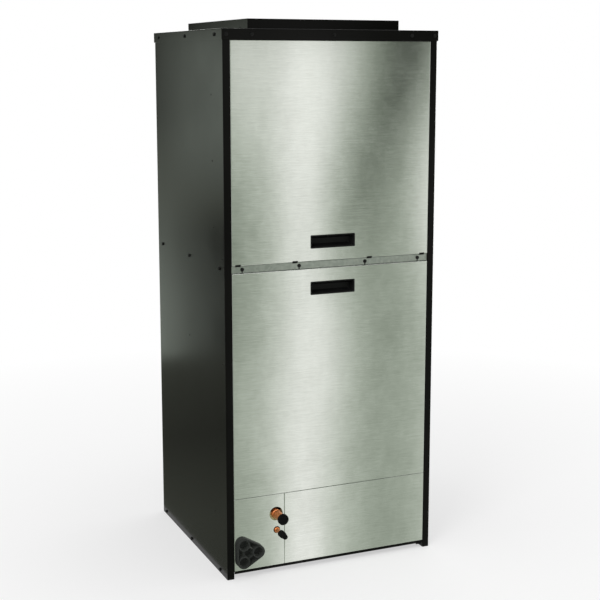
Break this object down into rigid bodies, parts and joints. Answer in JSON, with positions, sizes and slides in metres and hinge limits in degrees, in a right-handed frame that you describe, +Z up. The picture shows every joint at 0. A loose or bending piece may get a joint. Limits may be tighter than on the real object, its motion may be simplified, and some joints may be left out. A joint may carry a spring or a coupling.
{
  "type": "air handler",
  "caption": "Floor-standing upflow air handler cabinet with lift-off front panels, top supply collar, pipe stubs and drain sockets.",
  "frame": {"origin": "on the floor, at the centre of the rectangle that the cabinet, its screw heads and its pipe stubs take up", "axes": "+X to the right seen from the front, -Y out of the front, +Z up"},
  "size_m": [0.6072, 0.6256, 1.44],
  "materials": {
    "black_enamel": "satin",
    "stainless": "horizontal brushed grain",
    "galvanised": "dull zinc coating",
    "bright_steel": "bright drawn",
    "fin_aluminium": "mill finish",
    "copper": "bright drawn copper tube",
    "brass": "machined",
    "black_plastic": "moulded, slightly satin",
    "black_rubber": "matte",
    "black_foam": "closed cell foam",
    "glass_wool": "faced glass wool",
    "motor_enamel": "gloss enamel",
    "green_board": "solder mask",
    "black_steel": "black oxide"
  },
  "bodies": {
    "cabinet": {"left_side_panel": "black_enamel", "right_side_panel": "black_enamel", "rear_panel": "black_enamel", "top_cap": "black_enamel", "supply_collar": "black_enamel", "base_pan": "black_enamel", "base_rail": "black_enamel", "lower_rail": "black_enamel", "mid_rail": "galvanised", "top_rail": "black_enamel", "side_braces": "galvanised", "pan_rails": "galvanised", "fitting_panel": "stainless", "fitting_liner": "glass_wool", "service_panel": "stainless", "service_liner": "glass_wool", "left_liner": "glass_wool", "right_liner": "glass_wool", "rear_liner": "glass_wool", "panel_gaskets": "black_foam", "blower_deck": "galvanised", "left_blower_side": "galvanised", "right_blower_side": "galvanised", "scroll_wrap": "galvanised", "blower_motor": "motor_enamel", "motor_mount": "galvanised", "control_box": "galvanised", "control_board": "green_board", "transformer": "motor_enamel", "terminal_block": "black_plastic", "run_capacitor": "bright_steel", "left_fin_pack": "fin_aluminium", "right_fin_pack": "fin_aluminium", "tube_sheets": "galvanised", "return_bends": "copper", "front_delta_plate": "galvanised", "rear_delta_plate": "galvanised", "apex_cap": "galvanised", "drain_pan": "black_plastic", "drain_block": "black_plastic", "left_header": "copper", "right_header": "copper", "suction_line": "copper", "liquid_line": "copper", "expansion_valve": "brass", "distributor": "brass", "feed_tubes": "copper", "sensing_bulb": "copper", "cabinet_screws": "black_steel", "rail_screws": "black_steel"},
    "upper_panel": {"upper_access_panel": "stainless", "upper_pull": "black_plastic", "upper_panel_liner": "glass_wool"},
    "lower_panel": {"lower_access_panel": "stainless", "lower_pull": "black_plastic", "lower_panel_liner": "glass_wool"},
    "blower_rotor": {"blower_wheel": "galvanised", "motor_shaft": "bright_steel"},
    "suction_plug": {"suction_plug": "black_rubber"},
    "liquid_plug": {"liquid_plug": "black_rubber"}
  },
  "joints": [
    {"name": "upper_panel_slide", "type": "slide", "parent": "cabinet", "child": "upper_panel", "axis": [0, -1, 0], "range_m": [0, 0.25]},
    {"name": "lower_panel_slide", "type": "slide", "parent": "cabinet", "child": "lower_panel", "axis": [0, -1, 0], "range_m": [0, 0.25]},
    {"name": "blower_spin", "type": "hinge", "parent": "cabinet", "child": "blower_rotor", "pos_m": [0, 0.0472, 1.1], "axis": [1, 0, 0], "continuous": true},
    {"name": "suction_plug_pull", "type": "slide", "parent": "cabinet", "child": "suction_plug", "axis": [0, -1, 0], "range_m": [0, 0.3]},
    {"name": "liquid_plug_pull", "type": "slide", "parent": "cabinet", "child": "liquid_plug", "axis": [0, -1, 0], "range_m": [0, 0.3]}
  ]
}
